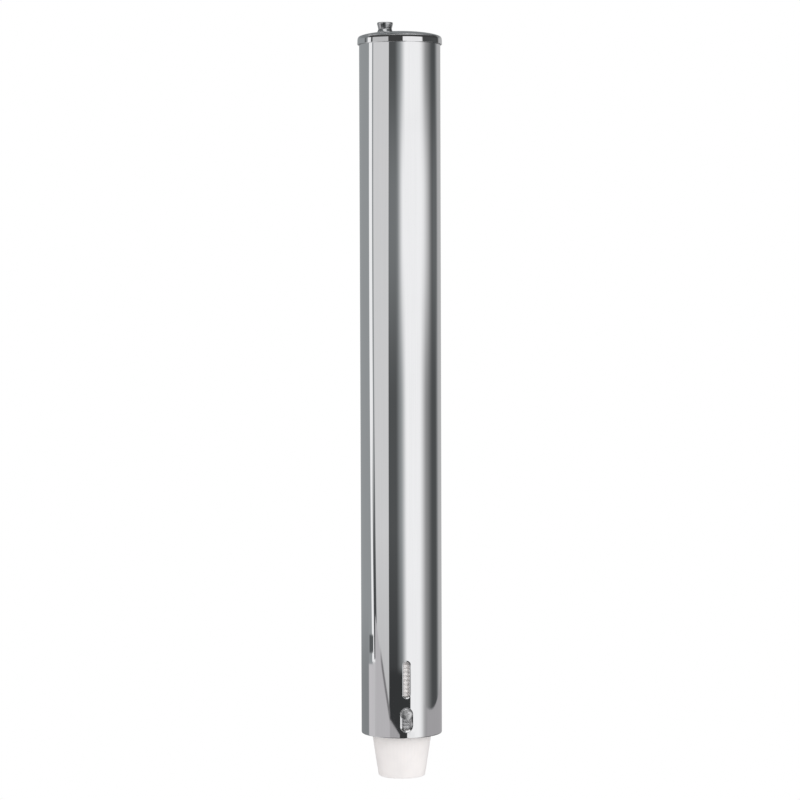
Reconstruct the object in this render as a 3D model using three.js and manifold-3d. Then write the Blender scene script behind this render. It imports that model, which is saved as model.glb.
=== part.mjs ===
// Wall-hung, pull-type cup dispenser: a polished tube that holds a nested stack of
// cups, with a lift-off lid, a level window and three adjustable holding fingers.
// Millimetres, +Z up, front towards -Y, wall at +Y. The origin lies on the rear
// face of the upper wall bracket, on the flat pad below its keyhole.
import * as THREE from "three";
import { mergeVertices } from "three/addons/utils/BufferGeometryUtils.js";
import Module from "manifold-3d";

// Tube
const tubeDiameter = 80;
const tubeWall = 0.8;
const tubeLength = 688;
const hemHeight = 2.5;
const hemFold = 0.8;
const hemRound = 0.5;
const tubeSides = 72;

// Lid and its knob
const lidClearance = 0.5;
const skirtFold = 1.25;
const skirtHeight = 6.5;
const skirtRound = 0.5;
const domeSetback = 0.4;
const domeHeight = 6.3;
const lidSheet = 0.9;
const domeSteps = 7;
const knobOffset = 14.4;
const knobHeadDiameter = 15.6;
const knobHeadEdge = 1;
const knobCrown = 0.5;
const knobNeckDiameter = 14.2;
const knobFootDiameter = 15.6;
const knobFootEdge = 0.8;
const knobHeight = 9.5;
const knobWaistSteps = 6;
const knobScrewDiameter = 3.4;
const knobScrewDepth = 5.4;
const knobScrewHeadDiameter = 7;
const knobScrewHeadHeight = 2.2;
const knobSides = 28;

// Level window
const windowWidth = 6.1;
const windowHeight = 35.4;
const windowFoot = 40.4;
const windowLip = 1.1;
const windowLipDepth = 0.9;

// Adjuster openings and what they hold
const adjusterCount = 3;
const openingWidth = 9.2;
const openingHeight = 20.8;
const openingFoot = 7.8;
const openingLip = 1.7;
const openingLipDepth = 0.8;
const openingCollar = 0.8;
const collarDepth = 1.65;
const adjusterTravel = 5.2;
const plateWidth = 20;
const plateSheet = 0.5;
const plateGap = 0.3;
const plateTop = 28.2;
const ribWidth = 7;
const ribHeight = 0.5;
const ribPitch = 3.65;
const ribLandShare = 0.9;
const plungeWall = 0.7;
const plungeDepth = 0.45;
const screwDiameter = 4.8;
const screwHeadDiameter = 11.4;
const screwDome = 1.6;
const screwSeatWidth = 1.4;
const screwSeatDepth = 0.65;
const screwSink = 0.25;
const screwEndGap = 0.2;
const recessLength = 6;
const recessWidth = 1.2;
const recessDepth = 1;
const screwSides = 24;
const fingerWidth = 10;
const fingerSheet = 0.4;
const fingerFootRise = 0.5;
const fingerFootLength = 3;
const fingerJoggle = 1.5;
const fingerBend = 0.7;
const fingerBite = 0.6;

// Wall brackets and rivets
const wallToTubeAxis = 50;
const bracketSheet = 2;
const bracketWidth = 46;
const bracketBelow = 10;
const bracketAbove = 34;
const bracketBend = 3;
const flangeBend = 2.5;
const flangeAngle = THREE.MathUtils.degToRad(52);
const keyholeRise = 14;
const keyholeDiameter = 9.5;
const keyholeNeckWidth = 5.2;
const keyholeNeckRise = 10;
const upperMountBelowTop = 88;
const lowerMountHeight = 110;
const rivetAngle = THREE.MathUtils.degToRad(44);
const rivetRises = [0, 24];
const rivetDiameter = 3;
const rivetHeadDiameter = 6;
const rivetHeadHeight = 1.2;
const rivetTailDiameter = 5;
const rivetTailHeight = 0.8;
const rivetSides = 12;

// Cups
const cupHeight = 78;
const cupSideRoom = 3.67;
const cupHalfAngle = THREE.MathUtils.degToRad(8.62);
const cupWall = 0.35;
const cupFloor = 0.4;
const cupBaseRound = 1.2;
const cupBaseRecess = 0.8;
const beadHeight = 2.6;
const beadReach = 1;
const beadRound = 0.4;
const nestingPitch = 4.2;
const cupRimHeight = 35;
const stackCount = 10;
const cupSides = 32;

// Clearances and the run of a cut past its wall
const seatGap = 0.3;
const holeClearance = 0.3;
const fingerGap = 0.3;
const overrun = 2;

const tubeRadius = tubeDiameter / 2;
const boreRadius = tubeRadius - tubeWall;
const upperMountHeight = tubeLength - upperMountBelowTop;

// The cups fill the tube but for the room beside their beads, and taper from there.
const beadRadius = boreRadius - cupSideRoom;
const cupTaper = Math.tan(cupHalfAngle);
const cupBaseRadius = beadRadius - beadReach - cupTaper * (cupHeight - beadHeight);
const cupBodyRadius = (height) => cupBaseRadius + cupTaper * height;

const steel = { color: 0xc9cacc, roughness: 0.16, metalness: 1 };
const springSteel = { color: 0xb4b6b9, roughness: 0.3, metalness: 1 };
const bracketSteel = { color: 0xaeb0b3, roughness: 0.42, metalness: 1 };
const rivetSteel = { color: 0xbfc1c4, roughness: 0.34, metalness: 1 };
const cupPlastic = { color: 0xf0eeec, roughness: 0.5, metalness: 0 };

const wasm = await Module();
wasm.setup();

// A closed geometry as a solid that can be cut and joined.
function solid(geometry) {
  const bare = geometry.clone();
  bare.deleteAttribute("normal");
  bare.deleteAttribute("uv");
  const merged = mergeVertices(bare);
  return new wasm.Manifold(
    new wasm.Mesh({
      numProp: 3,
      vertProperties: merged.attributes.position.array,
      triVerts: new Uint32Array(merged.index.array),
    }),
  );
}

function geometryOf(body) {
  const cut = body.getMesh();
  const geometry = new THREE.BufferGeometry();
  geometry.setAttribute("position", new THREE.BufferAttribute(cut.vertProperties, 3));
  geometry.setIndex(new THREE.BufferAttribute(cut.triVerts, 1));
  return geometry;
}

function piece(name, geometry, finish) {
  const mesh = new THREE.Mesh(geometry, new THREE.MeshStandardMaterial(finish));
  mesh.name = name;
  return mesh;
}

// A profile of [radius, height] pairs turned about Z.
function turned(profile, sides) {
  const points = profile.map(([radius, height]) => new THREE.Vector2(radius, height));
  return new THREE.LatheGeometry(points, sides).rotateX(Math.PI / 2);
}

// A shape in the XY plane raised along Z, from one height to another.
function raised(shape, from, to) {
  const options = { depth: to - from, bevelEnabled: false, curveSegments: 6 };
  return new THREE.ExtrudeGeometry(shape, options).translate(0, 0, from);
}

// An upright shape pushed out towards the front, from one distance off the axis to another.
function pushedForward(shape, from, to, height, bevel = {}) {
  const options = { depth: to - from, bevelEnabled: false, curveSegments: 6, ...bevel };
  const geometry = new THREE.ExtrudeGeometry(shape, options);
  return geometry.rotateX(Math.PI / 2).translate(0, -from, height);
}

function obround(width, height) {
  const radius = width / 2;
  const reach = (height - width) / 2;
  const shape = new THREE.Shape();
  shape.absarc(0, reach, radius, 0, Math.PI, false);
  shape.absarc(0, -reach, radius, Math.PI, 2 * Math.PI, false);
  return shape;
}

function disc(diameter) {
  const shape = new THREE.Shape();
  shape.absarc(0, 0, diameter / 2, 0, 2 * Math.PI, false);
  return shape;
}

// The closed outline of a sheet of one thickness whose mid-line is the given path.
function strip(path, thickness, divisions) {
  const line = path.getPoints(divisions);
  const offset = (point, index, side) => {
    const before = line[Math.max(index - 1, 0)];
    const after = line[Math.min(index + 1, line.length - 1)];
    const along = after.clone().sub(before).normalize();
    const across = new THREE.Vector2(-along.y, along.x);
    return point.clone().addScaledVector(across, (side * thickness) / 2);
  };
  const left = line.map((point, index) => offset(point, index, 1));
  const right = line.map((point, index) => offset(point, index, -1));
  return new THREE.Shape([...right, ...left.reverse()]);
}

// Tube: one drawn wall, its lower edge folded inwards into a hem, with a window and
// three openings whose dished edges are pressed inwards, and holes for the rivets.
function tubeProfile() {
  const hemRadius = boreRadius - hemFold;
  return [
    [tubeRadius, hemRound],
    [tubeRadius, tubeLength],
    [boreRadius, tubeLength],
    [boreRadius, hemHeight + hemFold],
    [hemRadius, hemHeight],
    [hemRadius, hemRound],
    [hemRadius + hemRound, 0],
    [tubeRadius - hemRound, 0],
    [tubeRadius, hemRound],
  ];
}

function openingCutter(width, height, lip, lipDepth, middle) {
  const shape = obround(width, height);
  const through = pushedForward(shape, boreRadius - collarDepth - overrun, tubeRadius, middle);
  const dish = pushedForward(shape, tubeRadius, tubeRadius + overrun, middle, {
    bevelEnabled: true,
    bevelSize: lip,
    bevelThickness: lipDepth,
    bevelSegments: 1,
  });
  return solid(through).add(solid(dish));
}

const windowMiddle = windowFoot + windowHeight / 2;
const openingMiddle = openingFoot + openingHeight / 2;
const openingTopCentre = openingFoot + openingHeight - openingWidth / 2;
const adjusterAngles = Array.from(
  { length: adjusterCount },
  (unused, index) => (2 * Math.PI * index) / adjusterCount,
);

// The pressed-in collar round an opening, its outer side following the tube.
function collar() {
  const reach = 2 * (openingLip + openingCollar);
  const shape = obround(openingWidth + reach, openingHeight + reach);
  const blank = pushedForward(shape, tubeRadius - collarDepth, tubeRadius, openingMiddle);
  const middle = boreRadius + tubeWall / 2;
  const inside = [[0, 0], [middle, 0], [middle, tubeLength], [0, tubeLength]];
  return solid(blank).intersect(solid(turned(inside, tubeSides)));
}

function rivetPlaces() {
  const places = [];
  for (const mount of [upperMountHeight, lowerMountHeight])
    for (const rise of rivetRises)
      for (const side of [-1, 1])
        places.push({ mount, height: mount + rise, angle: Math.PI + side * rivetAngle });
  return places;
}

function rivetHole(place) {
  const shape = disc(rivetDiameter + 2 * holeClearance);
  const far = tubeRadius + seatGap + bracketSheet + overrun;
  return pushedForward(shape, boreRadius - overrun, far, place.height).rotateZ(place.angle);
}

function makeTube() {
  let wall = solid(turned(tubeProfile(), tubeSides));
  for (const angle of adjusterAngles) {
    const cutter = openingCutter(
      openingWidth,
      openingHeight,
      openingLip,
      openingLipDepth,
      openingMiddle,
    );
    const turn = [0, 0, THREE.MathUtils.radToDeg(angle)];
    wall = wall.add(collar().rotate(turn)).subtract(cutter.rotate(turn));
  }
  wall = wall.subtract(
    openingCutter(windowWidth, windowHeight, windowLip, windowLipDepth, windowMiddle),
  );
  for (const place of rivetPlaces()) wall = wall.subtract(solid(rivetHole(place)));
  return piece("outer_tube", geometryOf(wall), steel);
}

// Lid: a spun cap with an elliptical dome over a folded skirt that slips over the tube.
const skirtInner = tubeRadius + lidClearance;
const skirtOuter = skirtInner + skirtFold;
const domeRadius = skirtOuter - domeSetback;
const domeUnder = domeHeight - lidSheet;
const riseAtTube = domeUnder * Math.sqrt(1 - (tubeRadius / skirtInner) ** 2);
const skirtTop = tubeLength + seatGap - riseAtTube;
const skirtBottom = skirtTop - skirtHeight;

function domePoints(radius, height, base) {
  return Array.from({ length: domeSteps + 1 }, (unused, step) => {
    const turn = (Math.PI / 2) * (step / domeSteps);
    return [radius * Math.cos(turn), base + height * Math.sin(turn)];
  });
}

function domeTopAt(radius) {
  return skirtTop + domeHeight * Math.sqrt(1 - (radius / domeRadius) ** 2);
}

function domeUnderAt(radius) {
  return skirtTop + domeUnder * Math.sqrt(1 - (radius / skirtInner) ** 2);
}

function makeLid() {
  const outer = domePoints(domeRadius, domeHeight, skirtTop);
  const inner = domePoints(skirtInner, domeUnder, skirtTop).reverse();
  outer[outer.length - 1][0] = 0;
  inner[0][0] = 0;
  const profile = [
    ...inner,
    [skirtInner, skirtBottom + skirtRound],
    [skirtInner + skirtRound, skirtBottom],
    [skirtOuter - skirtRound, skirtBottom],
    [skirtOuter, skirtBottom + skirtRound],
    [skirtOuter, skirtTop],
    ...outer,
  ];
  const bore = disc(knobScrewDiameter + 2 * holeClearance);
  const hole = raised(bore, skirtTop, skirtTop + domeHeight + overrun);
  hole.translate(-knobOffset, 0, 0);
  const cap = solid(turned(profile, tubeSides)).subtract(solid(hole));
  return piece("lid", geometryOf(cap), steel);
}

// Knob: a turned spool with a shallow waist, its foot cut to the dome, drilled from below.
const knobSeat = domeTopAt(knobOffset);
const knobFootEnd = domeTopAt(knobOffset + knobFootDiameter / 2);
const knobBore = knobScrewDiameter / 2 + holeClearance;

function knobWaist(from, to) {
  return Array.from({ length: knobWaistSteps + 1 }, (unused, step) => {
    const share = step / knobWaistSteps;
    const rim = THREE.MathUtils.lerp(knobFootDiameter, knobHeadDiameter, share);
    const hollow = (rim - knobNeckDiameter) * Math.sin(Math.PI * share);
    return [(rim - hollow) / 2, THREE.MathUtils.lerp(from, to, share)];
  });
}

function makeKnob() {
  const top = knobSeat + knobHeight;
  const drill = knobSeat + knobScrewDepth + holeClearance;
  const profile = [
    [0, drill],
    [knobBore, drill],
    [knobBore, knobFootEnd],
    [knobFootDiameter / 2, knobFootEnd],
    ...knobWaist(knobSeat + knobFootEdge, top - knobCrown - knobHeadEdge),
    [knobHeadDiameter / 2, top - knobCrown],
    [knobHeadDiameter / 2 - knobCrown, top],
    [0, top],
  ];
  const blank = turned(profile, knobSides).translate(-knobOffset, 0, 0);
  const dome = domePoints(domeRadius + seatGap, domeHeight + seatGap, skirtTop);
  dome[dome.length - 1][0] = 0;
  const under = solid(turned([[0, skirtTop], ...dome], tubeSides));
  return piece("lid_knob", geometryOf(solid(blank).subtract(under)), steel);
}

function makeKnobScrew() {
  const headTop = domeUnderAt(knobOffset + knobScrewHeadDiameter / 2) - seatGap;
  const profile = [
    [0, headTop - knobScrewHeadHeight],
    [knobScrewHeadDiameter / 2, headTop - knobScrewHeadHeight],
    [knobScrewHeadDiameter / 2, headTop],
    [knobScrewDiameter / 2, headTop],
    [knobScrewDiameter / 2, knobSeat + knobScrewDepth],
    [0, knobSeat + knobScrewDepth],
  ];
  const screw = piece("lid_knob_screw", turned(profile, knobSides), bracketSteel);
  screw.position.x = -knobOffset;
  return screw;
}

// Brackets: a bent strap with a flat keyhole plate on the wall and two curved flanges
// riveted to the back of the tube.
function bracketPath() {
  const flangeRadius = tubeRadius + seatGap + bracketSheet / 2;
  const web = (bracketWidth - bracketSheet) / 2;
  const meet = Math.asin(web / flangeRadius);
  const plate = wallToTubeAxis - bracketSheet / 2;
  const bend = flangeBend / flangeRadius;
  const foot = Math.cos(meet) * flangeRadius;
  const path = new THREE.Path();
  path.absarc(0, 0, flangeRadius, Math.PI / 2 - flangeAngle, Math.PI / 2 - meet - bend, false);
  path.quadraticCurveTo(web, foot, web, foot + flangeBend);
  path.lineTo(web, plate - bracketBend);
  path.quadraticCurveTo(web, plate, web - bracketBend, plate);
  path.lineTo(bracketBend - web, plate);
  path.quadraticCurveTo(-web, plate, -web, plate - bracketBend);
  path.lineTo(-web, foot + flangeBend);
  const mirrored = Math.PI / 2 + meet + bend;
  const last = [Math.cos(mirrored) * flangeRadius, Math.sin(mirrored) * flangeRadius];
  path.quadraticCurveTo(-web, foot, ...last);
  path.absarc(0, 0, flangeRadius, mirrored, Math.PI / 2 + flangeAngle, false);
  return path;
}

function keyhole(mountHeight) {
  const rise = mountHeight + keyholeRise;
  const from = -wallToTubeAxis - overrun;
  const to = -wallToTubeAxis + bracketSheet + overrun;
  const head = pushedForward(disc(keyholeDiameter), from, to, rise);
  const neckHeight = keyholeNeckRise + keyholeNeckWidth;
  const neckMiddle = rise + keyholeNeckRise / 2;
  const neck = pushedForward(obround(keyholeNeckWidth, neckHeight), from, to, neckMiddle);
  return solid(head).add(solid(neck));
}

function makeBracket(name, mountHeight) {
  const outline = strip(bracketPath(), bracketSheet, 4);
  const foot = mountHeight - bracketBelow;
  let strap = solid(raised(outline, foot, foot + bracketBelow + bracketAbove));
  strap = strap.subtract(keyhole(mountHeight));
  for (const place of rivetPlaces())
    if (place.mount === mountHeight) strap = strap.subtract(solid(rivetHole(place)));
  return piece(name, geometryOf(strap), bracketSteel);
}

function makeRivet(place, index) {
  const tail = boreRadius - seatGap;
  const face = tubeRadius + 2 * seatGap + bracketSheet;
  const head = rivetHeadDiameter / 2;
  const profile = [
    [0, tail - rivetTailHeight],
    [rivetTailDiameter / 2, tail - rivetTailHeight],
    [rivetTailDiameter / 2, tail],
    [rivetDiameter / 2, tail],
    [rivetDiameter / 2, face],
    [head, face],
    [head * Math.cos(Math.PI / 4), face + rivetHeadHeight * Math.sin(Math.PI / 4)],
    [0, face + rivetHeadHeight],
  ];
  const geometry = turned(profile, rivetSides).rotateX(Math.PI / 2);
  const rivet = piece(`bracket_rivet_${index + 1}`, geometry, rivetSteel);
  rivet.rotation.z = place.angle;
  rivet.position.z = place.height;
  return rivet;
}

// Adjusters: behind each opening a ribbed plate rides on the tube's wall, a domed
// screw clamps it through the opening, and a spring finger rises from it under the
// bead of the lowest cup.
const plateFoot = hemHeight + hemFold + adjusterTravel;
const plateOuter = tubeRadius - collarDepth - plateGap;
const plateInner = plateOuter - ribHeight - plateSheet;
const beadUnderside = cupRimHeight - beadHeight;
const fingerEdge = beadRadius - fingerBite;

function ribShape() {
  const shape = new THREE.Shape();
  const face = plateOuter - ribHeight;
  const count = Math.floor((plateTop - plateFoot) / ribPitch);
  const half = (ribPitch * ribLandShare) / 2;
  shape.moveTo(plateInner, plateFoot);
  shape.lineTo(face, plateFoot);
  for (let index = 0; index < count; index++) {
    const middle = plateFoot + ribPitch * (index + 1 / 2);
    for (let step = 0; step <= 6; step++) {
      const turn = Math.PI * (step / 6 - 1 / 2);
      shape.lineTo(face + ribHeight * Math.cos(turn), middle + half * Math.sin(turn));
    }
  }
  shape.lineTo(face, plateTop);
  shape.lineTo(plateInner, plateTop);
  shape.closePath();
  return shape;
}

// A shape drawn in [distance off the axis, height] and given a width across the front.
function acrossFront(shape, width) {
  const options = { depth: width, bevelEnabled: false, curveSegments: 6 };
  const geometry = new THREE.ExtrudeGeometry(shape, options);
  return geometry.translate(0, 0, -width / 2).rotateX(Math.PI / 2).rotateZ(-Math.PI / 2);
}

function makePlate(angle, index) {
  const base = new THREE.Shape();
  base.moveTo(plateInner, plateFoot);
  base.lineTo(plateInner + plateSheet, plateFoot);
  base.lineTo(plateInner + plateSheet, plateTop);
  base.lineTo(plateInner, plateTop);
  base.closePath();
  const bore = screwDiameter + 2 * holeClearance;
  const plunge = disc(bore + 2 * plungeWall);
  const neck = pushedForward(plunge, plateInner - plungeDepth, plateOuter, openingTopCentre);
  const reach = [plateInner - overrun, plateOuter + overrun];
  const body = solid(acrossFront(base, plateWidth))
    .add(solid(acrossFront(ribShape(), ribWidth)))
    .add(solid(neck))
    .subtract(solid(pushedForward(disc(bore), ...reach, openingTopCentre)));
  const plate = piece(`adjuster_plate_${index + 1}`, geometryOf(body), springSteel);
  plate.rotation.z = angle;
  return plate;
}

function makeScrew(angle, index) {
  const rim = screwHeadDiameter / 2;
  const seat = tubeRadius - screwSink;
  const under = seat - screwSeatDepth;
  const profile = [
    [0, plateInner - plungeDepth - screwEndGap],
    [screwDiameter / 2, plateInner - plungeDepth - screwEndGap],
    [screwDiameter / 2, under],
    [rim - screwSeatWidth, under],
    [rim, seat],
  ];
  for (let step = 1; step < 4; step++) {
    const turn = (Math.PI / 2) * (step / 4);
    profile.push([rim * Math.cos(turn), seat + screwDome * Math.sin(turn)]);
  }
  profile.push([0, seat + screwDome]);
  const blank = turned(profile, screwSides).rotateX(Math.PI / 2);
  const top = seat + screwDome;
  let body = solid(blank.translate(0, 0, openingTopCentre));
  for (const turn of [0, Math.PI / 2]) {
    const bar = obround(recessWidth, recessLength);
    const slot = new THREE.ExtrudeGeometry(bar, {
      depth: recessDepth + overrun,
      bevelEnabled: false,
      curveSegments: 2,
    });
    slot.rotateZ(turn).rotateX(Math.PI / 2).translate(0, recessDepth - top, openingTopCentre);
    body = body.subtract(solid(slot));
  }
  const screw = piece(`clamp_screw_${index + 1}`, geometryOf(body), steel);
  screw.rotation.z = angle;
  return screw;
}

function fingerPath() {
  const foot = plateInner - fingerGap - fingerSheet / 2;
  const blade = beadRadius + fingerGap + (fingerSheet + fingerGap) / 2;
  const bottom = plateFoot + fingerFootRise;
  const shelf = beadUnderside - fingerGap - fingerSheet / 2;
  const path = new THREE.Path();
  path.moveTo(foot, bottom);
  path.lineTo(foot, bottom + fingerFootLength);
  path.lineTo(blade, bottom + fingerFootLength + fingerJoggle);
  path.lineTo(blade, shelf - fingerBend);
  path.quadraticCurveTo(blade, shelf, blade - fingerBend, shelf);
  path.lineTo(fingerEdge - fingerSheet, shelf);
  return path;
}

function makeFinger(angle, index) {
  const blade = solid(acrossFront(strip(fingerPath(), fingerSheet, 5), fingerWidth));
  const eye = screwDiameter + 2 * (holeClearance + plungeWall + holeClearance);
  const reach = [fingerEdge, tubeRadius];
  const hole = solid(pushedForward(disc(eye), ...reach, openingTopCentre));
  const nest = solid(
    turned([[0, 0], [fingerEdge, 0], [fingerEdge, tubeLength], [0, tubeLength]], tubeSides),
  );
  const body = blade.subtract(hole).subtract(nest);
  const finger = piece(`holding_finger_${index + 1}`, geometryOf(body), springSteel);
  finger.rotation.z = angle;
  return finger;
}

// Cups: thin tapered walls with a rim bead, nested one pitch apart.
function cupProfile() {
  const across = cupWall / Math.cos(cupHalfAngle);
  const beadFoot = cupHeight - beadHeight;
  const inner = (height) => cupBodyRadius(height) - across;
  return [
    [0, cupBaseRecess],
    [cupBaseRadius - cupBaseRound, 0],
    [cupBodyRadius(cupBaseRound), cupBaseRound],
    [cupBodyRadius(beadFoot), beadFoot],
    [beadRadius, beadFoot],
    [beadRadius, cupHeight - beadRound],
    [beadRadius - beadRound, cupHeight],
    [inner(cupHeight), cupHeight],
    [inner(cupBaseRound + cupFloor), cupBaseRound + cupFloor],
    [0, cupBaseRecess + cupFloor],
  ];
}

function makeCup(name, level) {
  const cup = piece(name, turned(cupProfile(), cupSides), cupPlastic);
  cup.position.z = cupRimHeight - cupHeight + level * nestingPitch;
  return cup;
}

// Everything above is measured from the tube's axis and its lower rim.
const onAxis = new THREE.Group();
onAxis.position.set(0, -wallToTubeAxis, -upperMountHeight);
onAxis.add(makeTube(), makeLid(), makeKnob(), makeKnobScrew());
onAxis.add(makeBracket("upper_wall_bracket", upperMountHeight));
onAxis.add(makeBracket("lower_wall_bracket", lowerMountHeight));
rivetPlaces().forEach((place, index) => onAxis.add(makeRivet(place, index)));
adjusterAngles.forEach((angle, index) => {
  onAxis.add(makePlate(angle, index), makeScrew(angle, index), makeFinger(angle, index));
});
onAxis.add(makeCup("bottom_cup", 0));
for (let level = 1; level <= stackCount; level++)
  onAxis.add(makeCup(`stack_cup_${String(level).padStart(2, "0")}`, level));

const dispenser = new THREE.Group();
dispenser.add(onAxis);
export default dispenser;
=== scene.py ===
# %% [markdown]
# # A wall-hung, pull-type cup dispenser
# A polished stainless tube holds a nested stack of cups, and the lowest cup hangs out of
# its mouth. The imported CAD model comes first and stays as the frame: it gives the main
# sizes and places, and Blender adds the finish, the pressed edges and small roundings.

# %% Load the frame
import math

import bpy
import numpy as np
from mathutils import Matrix, Vector


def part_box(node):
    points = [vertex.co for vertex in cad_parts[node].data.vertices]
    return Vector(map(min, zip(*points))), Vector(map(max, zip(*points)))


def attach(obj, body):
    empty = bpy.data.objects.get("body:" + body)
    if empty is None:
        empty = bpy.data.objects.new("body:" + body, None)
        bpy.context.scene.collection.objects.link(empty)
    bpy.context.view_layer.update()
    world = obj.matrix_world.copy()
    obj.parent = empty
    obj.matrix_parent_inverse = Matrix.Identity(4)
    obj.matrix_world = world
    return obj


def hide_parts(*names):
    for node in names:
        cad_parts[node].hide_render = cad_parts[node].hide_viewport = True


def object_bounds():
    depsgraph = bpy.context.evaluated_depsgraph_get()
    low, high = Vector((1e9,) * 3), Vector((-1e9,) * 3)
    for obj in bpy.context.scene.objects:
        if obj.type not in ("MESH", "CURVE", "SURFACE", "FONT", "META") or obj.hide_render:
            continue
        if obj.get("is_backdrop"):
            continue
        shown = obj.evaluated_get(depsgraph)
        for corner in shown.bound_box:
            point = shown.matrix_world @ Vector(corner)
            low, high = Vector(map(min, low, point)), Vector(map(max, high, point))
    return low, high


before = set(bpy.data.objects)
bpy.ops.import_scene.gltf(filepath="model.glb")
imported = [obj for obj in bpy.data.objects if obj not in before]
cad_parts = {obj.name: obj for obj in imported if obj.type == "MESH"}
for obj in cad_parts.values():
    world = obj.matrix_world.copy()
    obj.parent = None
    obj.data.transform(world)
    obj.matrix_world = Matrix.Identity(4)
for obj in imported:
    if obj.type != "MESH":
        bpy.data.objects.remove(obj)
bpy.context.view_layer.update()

# %% [markdown]
# ## The measuring frame
# The tube is the datum of the whole object. Its axis and its lower rim are read from the
# frame, and everything below is drawn in millimetres from there: x across, y towards the
# wall, h up from the rim. One function turns such points into scene metres.

# %% Datum and main sizes
MM = 0.001
tube_low, tube_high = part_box("outer_tube")
AXIS = Vector(((tube_low.x + tube_high.x) / 2, (tube_low.y + tube_high.y) / 2, tube_low.z))
TUBE_LENGTH = (tube_high.z - tube_low.z) / MM
TUBE_RADIUS = 40.0
TUBE_WALL = 0.8
BORE_RADIUS = TUBE_RADIUS - TUBE_WALL
print(f"tube {TUBE_LENGTH:.1f} mm long, axis at x {AXIS.x / MM:.1f}, y {AXIS.y / MM:.1f}")


def in_scene(points):
    """Points in millimetres from the tube's axis and lower rim, as scene metres."""
    return np.asarray(points, float) * MM + np.array(AXIS)


def node_heights(name):
    """Lowest and highest point of a CAD node, in millimetres above the tube's rim."""
    low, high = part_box(name)
    return (low.z - AXIS.z) / MM, (high.z - AXIS.z) / MM


def linked(name, data):
    """A new object in the scene, at the origin."""
    made = bpy.data.objects.new(name, data)
    bpy.context.scene.collection.objects.link(made)
    return made


# %% [markdown]
# ## Skins with true normals
# A mirror shows every fault of its surface, so the polished pieces carry normals worked
# out from their formulas instead of averages over faces. A skin is a list of patches,
# each a grid of points with their normals; patches that share an edge are joined by
# merging equal points, which also closes seams and poles.

# %% A mesh from patches of points and normals
def skin(name, patches, material, soft_normals=True):
    points = np.concatenate([p.reshape(-1, 3) for p, _ in patches])
    normals = np.concatenate([n.reshape(-1, 3) for _, n in patches])
    quads, start = [], 0
    for grid, _ in patches:
        rows, columns = grid.shape[:2]
        index = start + np.arange(rows * columns).reshape(rows, columns)
        corners = [index[:-1, :-1], index[:-1, 1:], index[1:, 1:], index[1:, :-1]]
        quads.append(np.stack([c.ravel() for c in corners], axis=1))
        start += rows * columns
    quads = np.concatenate(quads)
    p0, p1, p2, p3 = (points[quads[:, k]] for k in range(4))
    facing = np.einsum("ij,ij->i", np.cross(p2 - p0, p3 - p1), normals[quads].sum(axis=1))
    quads[facing < 0] = quads[facing < 0][:, ::-1]
    keys = np.round(points / 2e-5).astype(np.int64)
    _, first, merged = np.unique(keys, axis=0, return_index=True, return_inverse=True)
    merged = merged.reshape(-1)
    faces = []
    for quad in merged[quads].tolist():
        ring = [v for k, v in enumerate(quad) if v != quad[k - 1]]
        if len(set(ring)) >= 3:
            faces.append(ring)
    mesh = bpy.data.meshes.new(name)
    mesh.from_pydata(in_scene(points[first]).tolist(), [], faces)
    mesh.validate()
    mesh.shade_smooth()
    if soft_normals:
        mesh.normals_split_custom_set_from_vertices(normals[first].tolist())
    mesh.materials.append(material)
    print(f"{name}: {len(mesh.vertices)} vertices, {len(mesh.polygons)} faces")
    return linked(name, mesh)


# %% [markdown]
# ## Profiles with rounded corners
# Every turned piece starts as a chain of corners, each with its own rounding, because no
# real edge is perfectly sharp and the rounding is what catches the light. The chain
# becomes a fine line of points, and each point keeps the normal of the line there.

# %% Rounded chains and turned pieces
def rounded(chain, steps=5):
    """Corners (a, b, radius) as points and left-hand normals, with an arc in each corner."""
    corners = [np.array(c[:2], float) for c in chain]
    points, normals = [], []

    def left(direction):
        return np.array([-direction[1], direction[0]])

    for k, corner in enumerate(corners):
        before = corner - corners[k - 1] if k else corners[1] - corner
        after = corners[k + 1] - corner if k + 1 < len(corners) else before
        before = before / np.linalg.norm(before)
        after = after / np.linalg.norm(after)
        turn = math.atan2(before[0] * after[1] - before[1] * after[0], before @ after)
        radius = chain[k][2]
        if radius <= 0 or abs(turn) < 1e-4 or k in (0, len(corners) - 1):
            points.append(corner)
            middle = left(before) + left(after)
            normals.append(middle / np.linalg.norm(middle))
            continue
        reach = radius * math.tan(abs(turn) / 2)
        side = math.copysign(1, turn)
        centre = corner - before * reach + left(before) * radius * side
        for step in range(steps + 1):
            angle = turn * step / steps
            spun = np.array(
                [
                    before[0] * math.cos(angle) - before[1] * math.sin(angle),
                    before[0] * math.sin(angle) + before[1] * math.cos(angle),
                ]
            )
            points.append(centre - left(spun) * radius * side)
            normals.append(left(spun))
    return np.array(points), np.array(normals)


def turned(line, sides, centre=(0, 0)):
    """A profile of (radius, height), drawn up the outside from the bottom, spun about Z."""
    points, normals = line
    angles = np.linspace(0, 2 * math.pi, sides + 1)
    angles[-1] = 0
    across = np.stack([np.sin(angles), -np.cos(angles)], axis=1)
    grid = np.zeros((len(points), sides + 1, 3))
    facing = np.zeros_like(grid)
    grid[..., :2] = points[:, None, :1] * across[None] + np.array(centre)
    grid[..., 2] = points[:, None, 1]
    facing[..., :2] = -normals[:, None, :1] * across[None]
    facing[..., 2] = -normals[:, None, 1]
    return grid, facing


def ellipse_arc(radius, rise, base, start, stop, steps):
    """Part of an upright ellipse as points and normals, from one turn to another."""
    turns = np.linspace(start, stop, steps)
    points = np.stack([radius * np.cos(turns), base + rise * np.sin(turns)], axis=1)
    normals = np.stack([rise * np.cos(turns), radius * np.sin(turns)], axis=1)
    normals /= np.linalg.norm(normals, axis=1)[:, None]
    return points, -normals


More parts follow.
